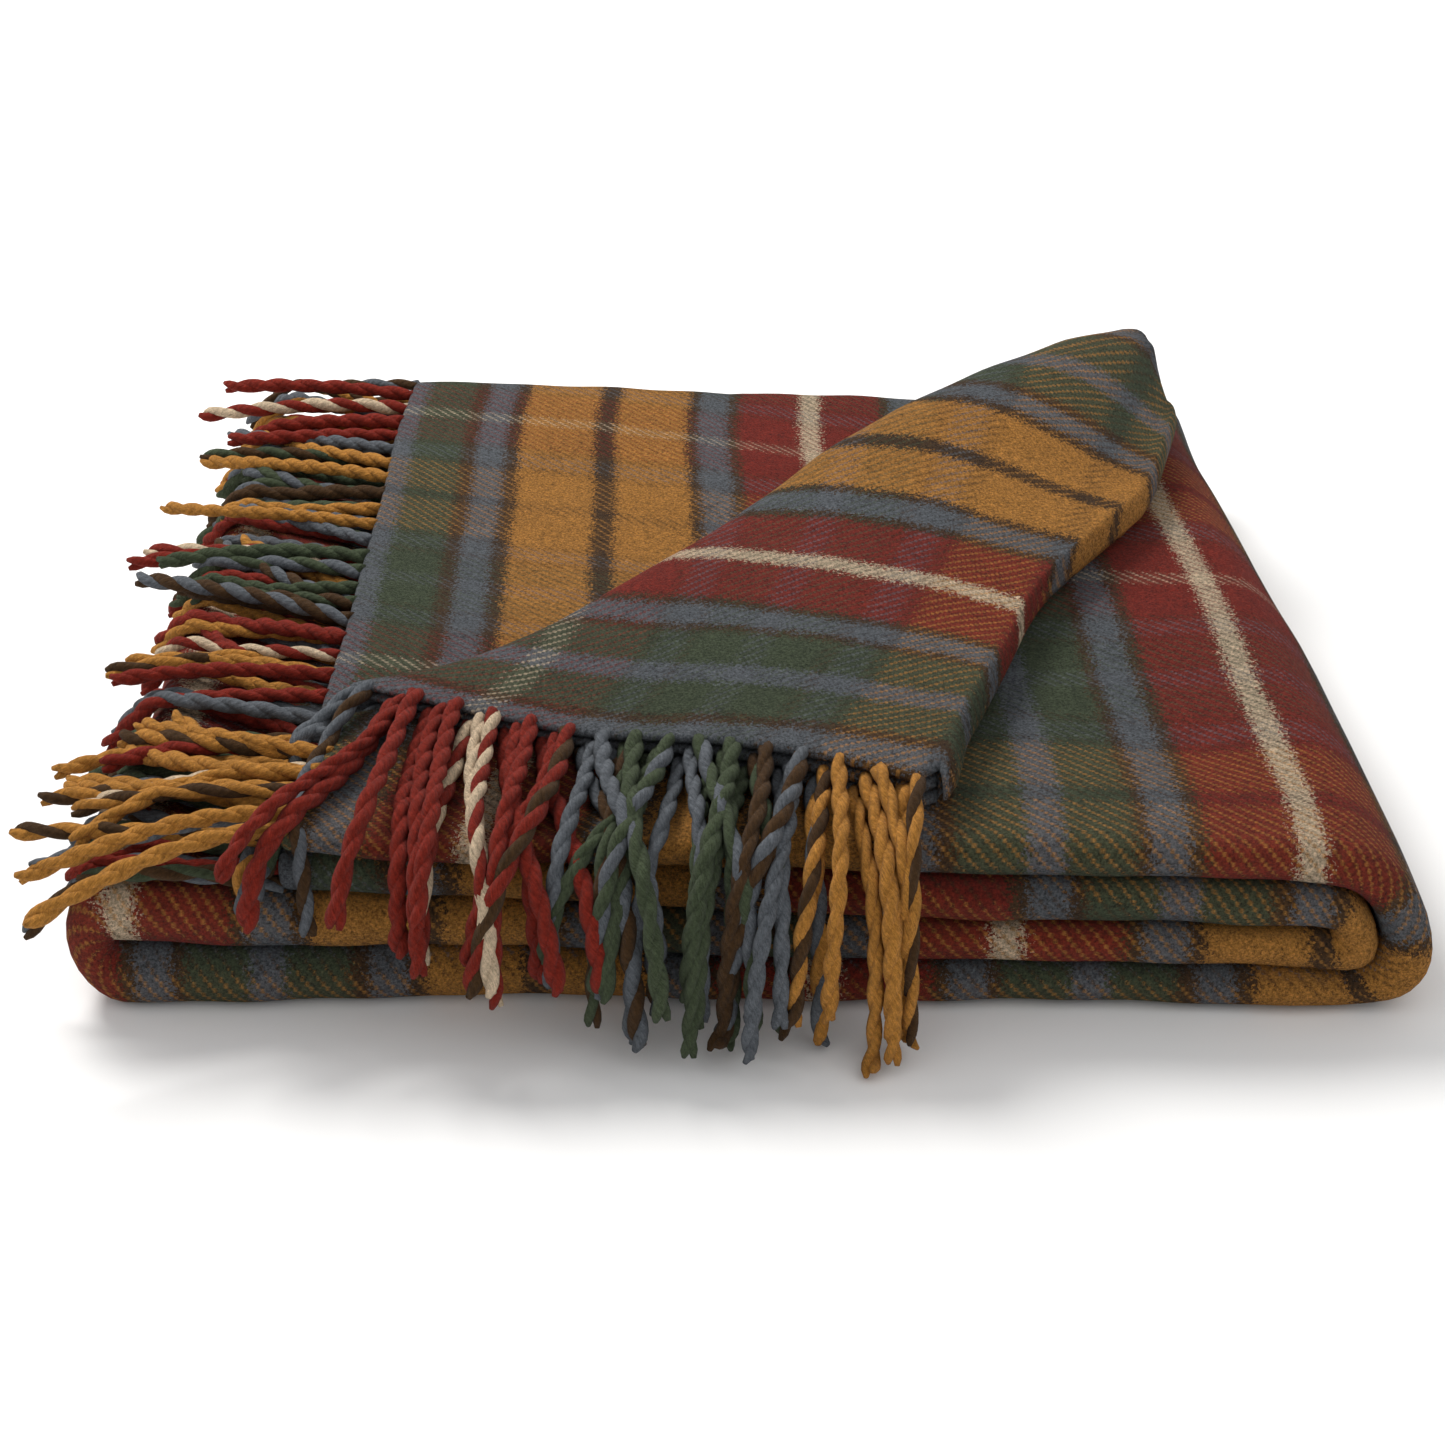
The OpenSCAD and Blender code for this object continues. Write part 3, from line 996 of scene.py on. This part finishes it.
def ply_warp(y, ply):
    """Warp place in the sett at depth y, for ply 1 (outer), 0 (middle) or -1 (lower)."""
    forward = y - FRONT_Y
    width = BACK_Y - FRONT_Y
    v = {1: forward, -1: -forward, 0: -(2 * width - forward)}[ply]
    return v


def side_fringe():
    tassels = []
    places = 27
    pitch_y = (BACK_Y - FRONT_Y) / places
    for i in range(places):
        for ply in (-1, 0, 1):
            rng = random.Random(1000 + i * 3 + ply)
            y = FRONT_Y + (i + 0.5) * pitch_y + ply * pitch_y / 3
            y = min(max(y, FRONT_Y + 5), BACK_Y - 5)
            root = settle(np.array([FRINGE_X + 2, y, LEVELS[2] + ply * PLY]))
            place = WARP_AT_FRONT + (ply_warp(y, ply) - a_skew(FRINGE_X)) / WARP_SCALE
            share = (y - FRONT_Y) / (BACK_Y - FRONT_Y)
            turn = 176 - 18 * smooth(share * 2.2) + 14 * smooth(share * 4 - 3)
            heading = math.radians(turn + rng.gauss(0, 8))
            length = TASSEL_L * rng.uniform(0.78, 1.08)
            line = lay(root, heading, length, left_support, rng, bend_r=420, off=3.4 + 2.0 * (ply + 1),
                       wander=0.16, rise=rng.uniform(-0.12, 0.12))
            tassels.append((line, twin_dyes(place, rng), rng))
    return fringe_object("side_fringe", tassels)


def corner_fringe():
    tassels = []
    places = 6
    y0, y1 = FRONT_Y, CREASE[1] - 6
    pitch_y = (y1 - y0) / places
    for i in range(places):
        for ply in (-1, 0, 1):
            rng = random.Random(2000 + i * 3 + ply)
            y = max(y0 + (i + 0.5) * pitch_y + ply * pitch_y / 3, y0 + 5)
            flat_root = np.array([FRINGE_X + 3, y, LEVELS[3] - ply * PLY])
            root = settle(shift_nose(flat_root))
            place = WARP_AT_FRONT + ply_warp(y, ply) / WARP_SCALE
            share = i / (places - 1)
            heading = math.radians(178 - 6 * share + rng.gauss(0, 6))
            line = lay(root, heading, TASSEL_L * rng.uniform(0.85, 1.05), left_front_support, rng, bend_r=260,
                       off=4 + 2 * (1 - ply), wander=0.3)
            tassels.append((line, twin_dyes(place, rng), rng))
    return fringe_object("corner_fringe", tassels)


def left_front_support(x, y):
    """Height under the top leaf's own tassels: the second leaf's front left corner, then the lower leaves."""
    if y < FRONT_Y:
        return 0.0
    if x > FRINGE_X:
        return height_of(x, y, 3 * PITCH)
    return left_support(x, y)


def flap_fringe():
    tassels = []
    places = 15
    # The fringed edge from the roll to the flap's corner, in the flap's own (along, across)
    for i in range(places):
        for ply in (-1, 0, 1):
            rng = random.Random(3000 + i * 3 + ply)
            share = (i + 0.5 + ply / 3) / places
            across = max(4.0, 192 * share)
            along = fringe_line(across) + 1.5
            height = LEVELS[3] + PITCH + ply * PLY
            plan = CREASE + along * ALONG + across * ACROSS
            root = settle(shift_nose(np.array([*plan, height])))
            place = corner_cloth(np.array([along, across]))[1]
            heading = math.radians(261 + 10 * smooth(share * 4) + rng.gauss(0, 5))
            reach = 1.25 + 0.07 * smooth(1 - share * 4) - 0.18 * smooth((share - 0.78) * 5)
            length = TASSEL_L * reach * rng.uniform(0.86, 1.07)
            line = lay(root, heading, length, front_support, rng, bend_r=rng.uniform(16, 30) + 2 * (ply + 1),
                       off=3.6 + 3.2 * (ply + 1), wander=0.22)
            tassels.append((line, twin_dyes(place, rng), rng))
    return fringe_object("flap_fringe", tassels)


def roll_fringe():
    tassels = []
    for i in range(3):
        rng = random.Random(4000 + i)
        t = math.radians(25 + 42 * i)
        r = roll_outer(0) - HALF + PLY
        height = LEVELS[3] - HALF + roll_outer(0) + r * math.cos(t)
        plan = CREASE + 5 * ALONG - r * math.sin(t) * ACROSS
        root = settle(shift_nose(np.array([*plan, height])))
        place = corner_cloth(np.array([0, -t * 12]))[1]
        heading = math.radians(246 - 9 * i + rng.gauss(0, 4))
        length = TASSEL_L * rng.uniform(1.34, 1.42)
        line = lay(root, heading, length, left_front_support, rng, bend_r=60, off=9)
        tassels.append((line, twin_dyes(place, rng), rng))
    return fringe_object("roll_fringe", tassels)


# ---------------------------------------------------------------- build the cloth

make_camera()
make_stage()
make_light()
bpy.context.scene.view_settings.view_transform = "Standard"

second = second_leaf()
inner_fold = inner_right_fold()
lower = lower_leaves()
outer_fold = outer_right_fold()
top = top_leaf()
corner = turned_corner()

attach(second, "upper_half")
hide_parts("second_leaf")
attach(lower, "lower_half")
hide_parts("bottom_leaf", "third_leaf", "left_fold")
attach(top, "upper_half")
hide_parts("top_leaf")
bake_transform(inner_fold)
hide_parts("inner_right_fold")
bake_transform(outer_fold)
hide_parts("outer_right_fold")
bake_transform(corner)
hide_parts("corner_roll", "corner_flap")

FRINGES = [
    (side_fringe(), "side_tassels", "upper_half"),
    (corner_fringe(), "corner_tassels", "upper_half"),
    (flap_fringe(), "flap_tassels", "turned_corner"),
    (roll_fringe(), "roll_tassels", "turned_corner"),
]
for fringe, stem, body in FRINGES:
    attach(fringe, body)
    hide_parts(*[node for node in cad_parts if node.startswith(stem)])
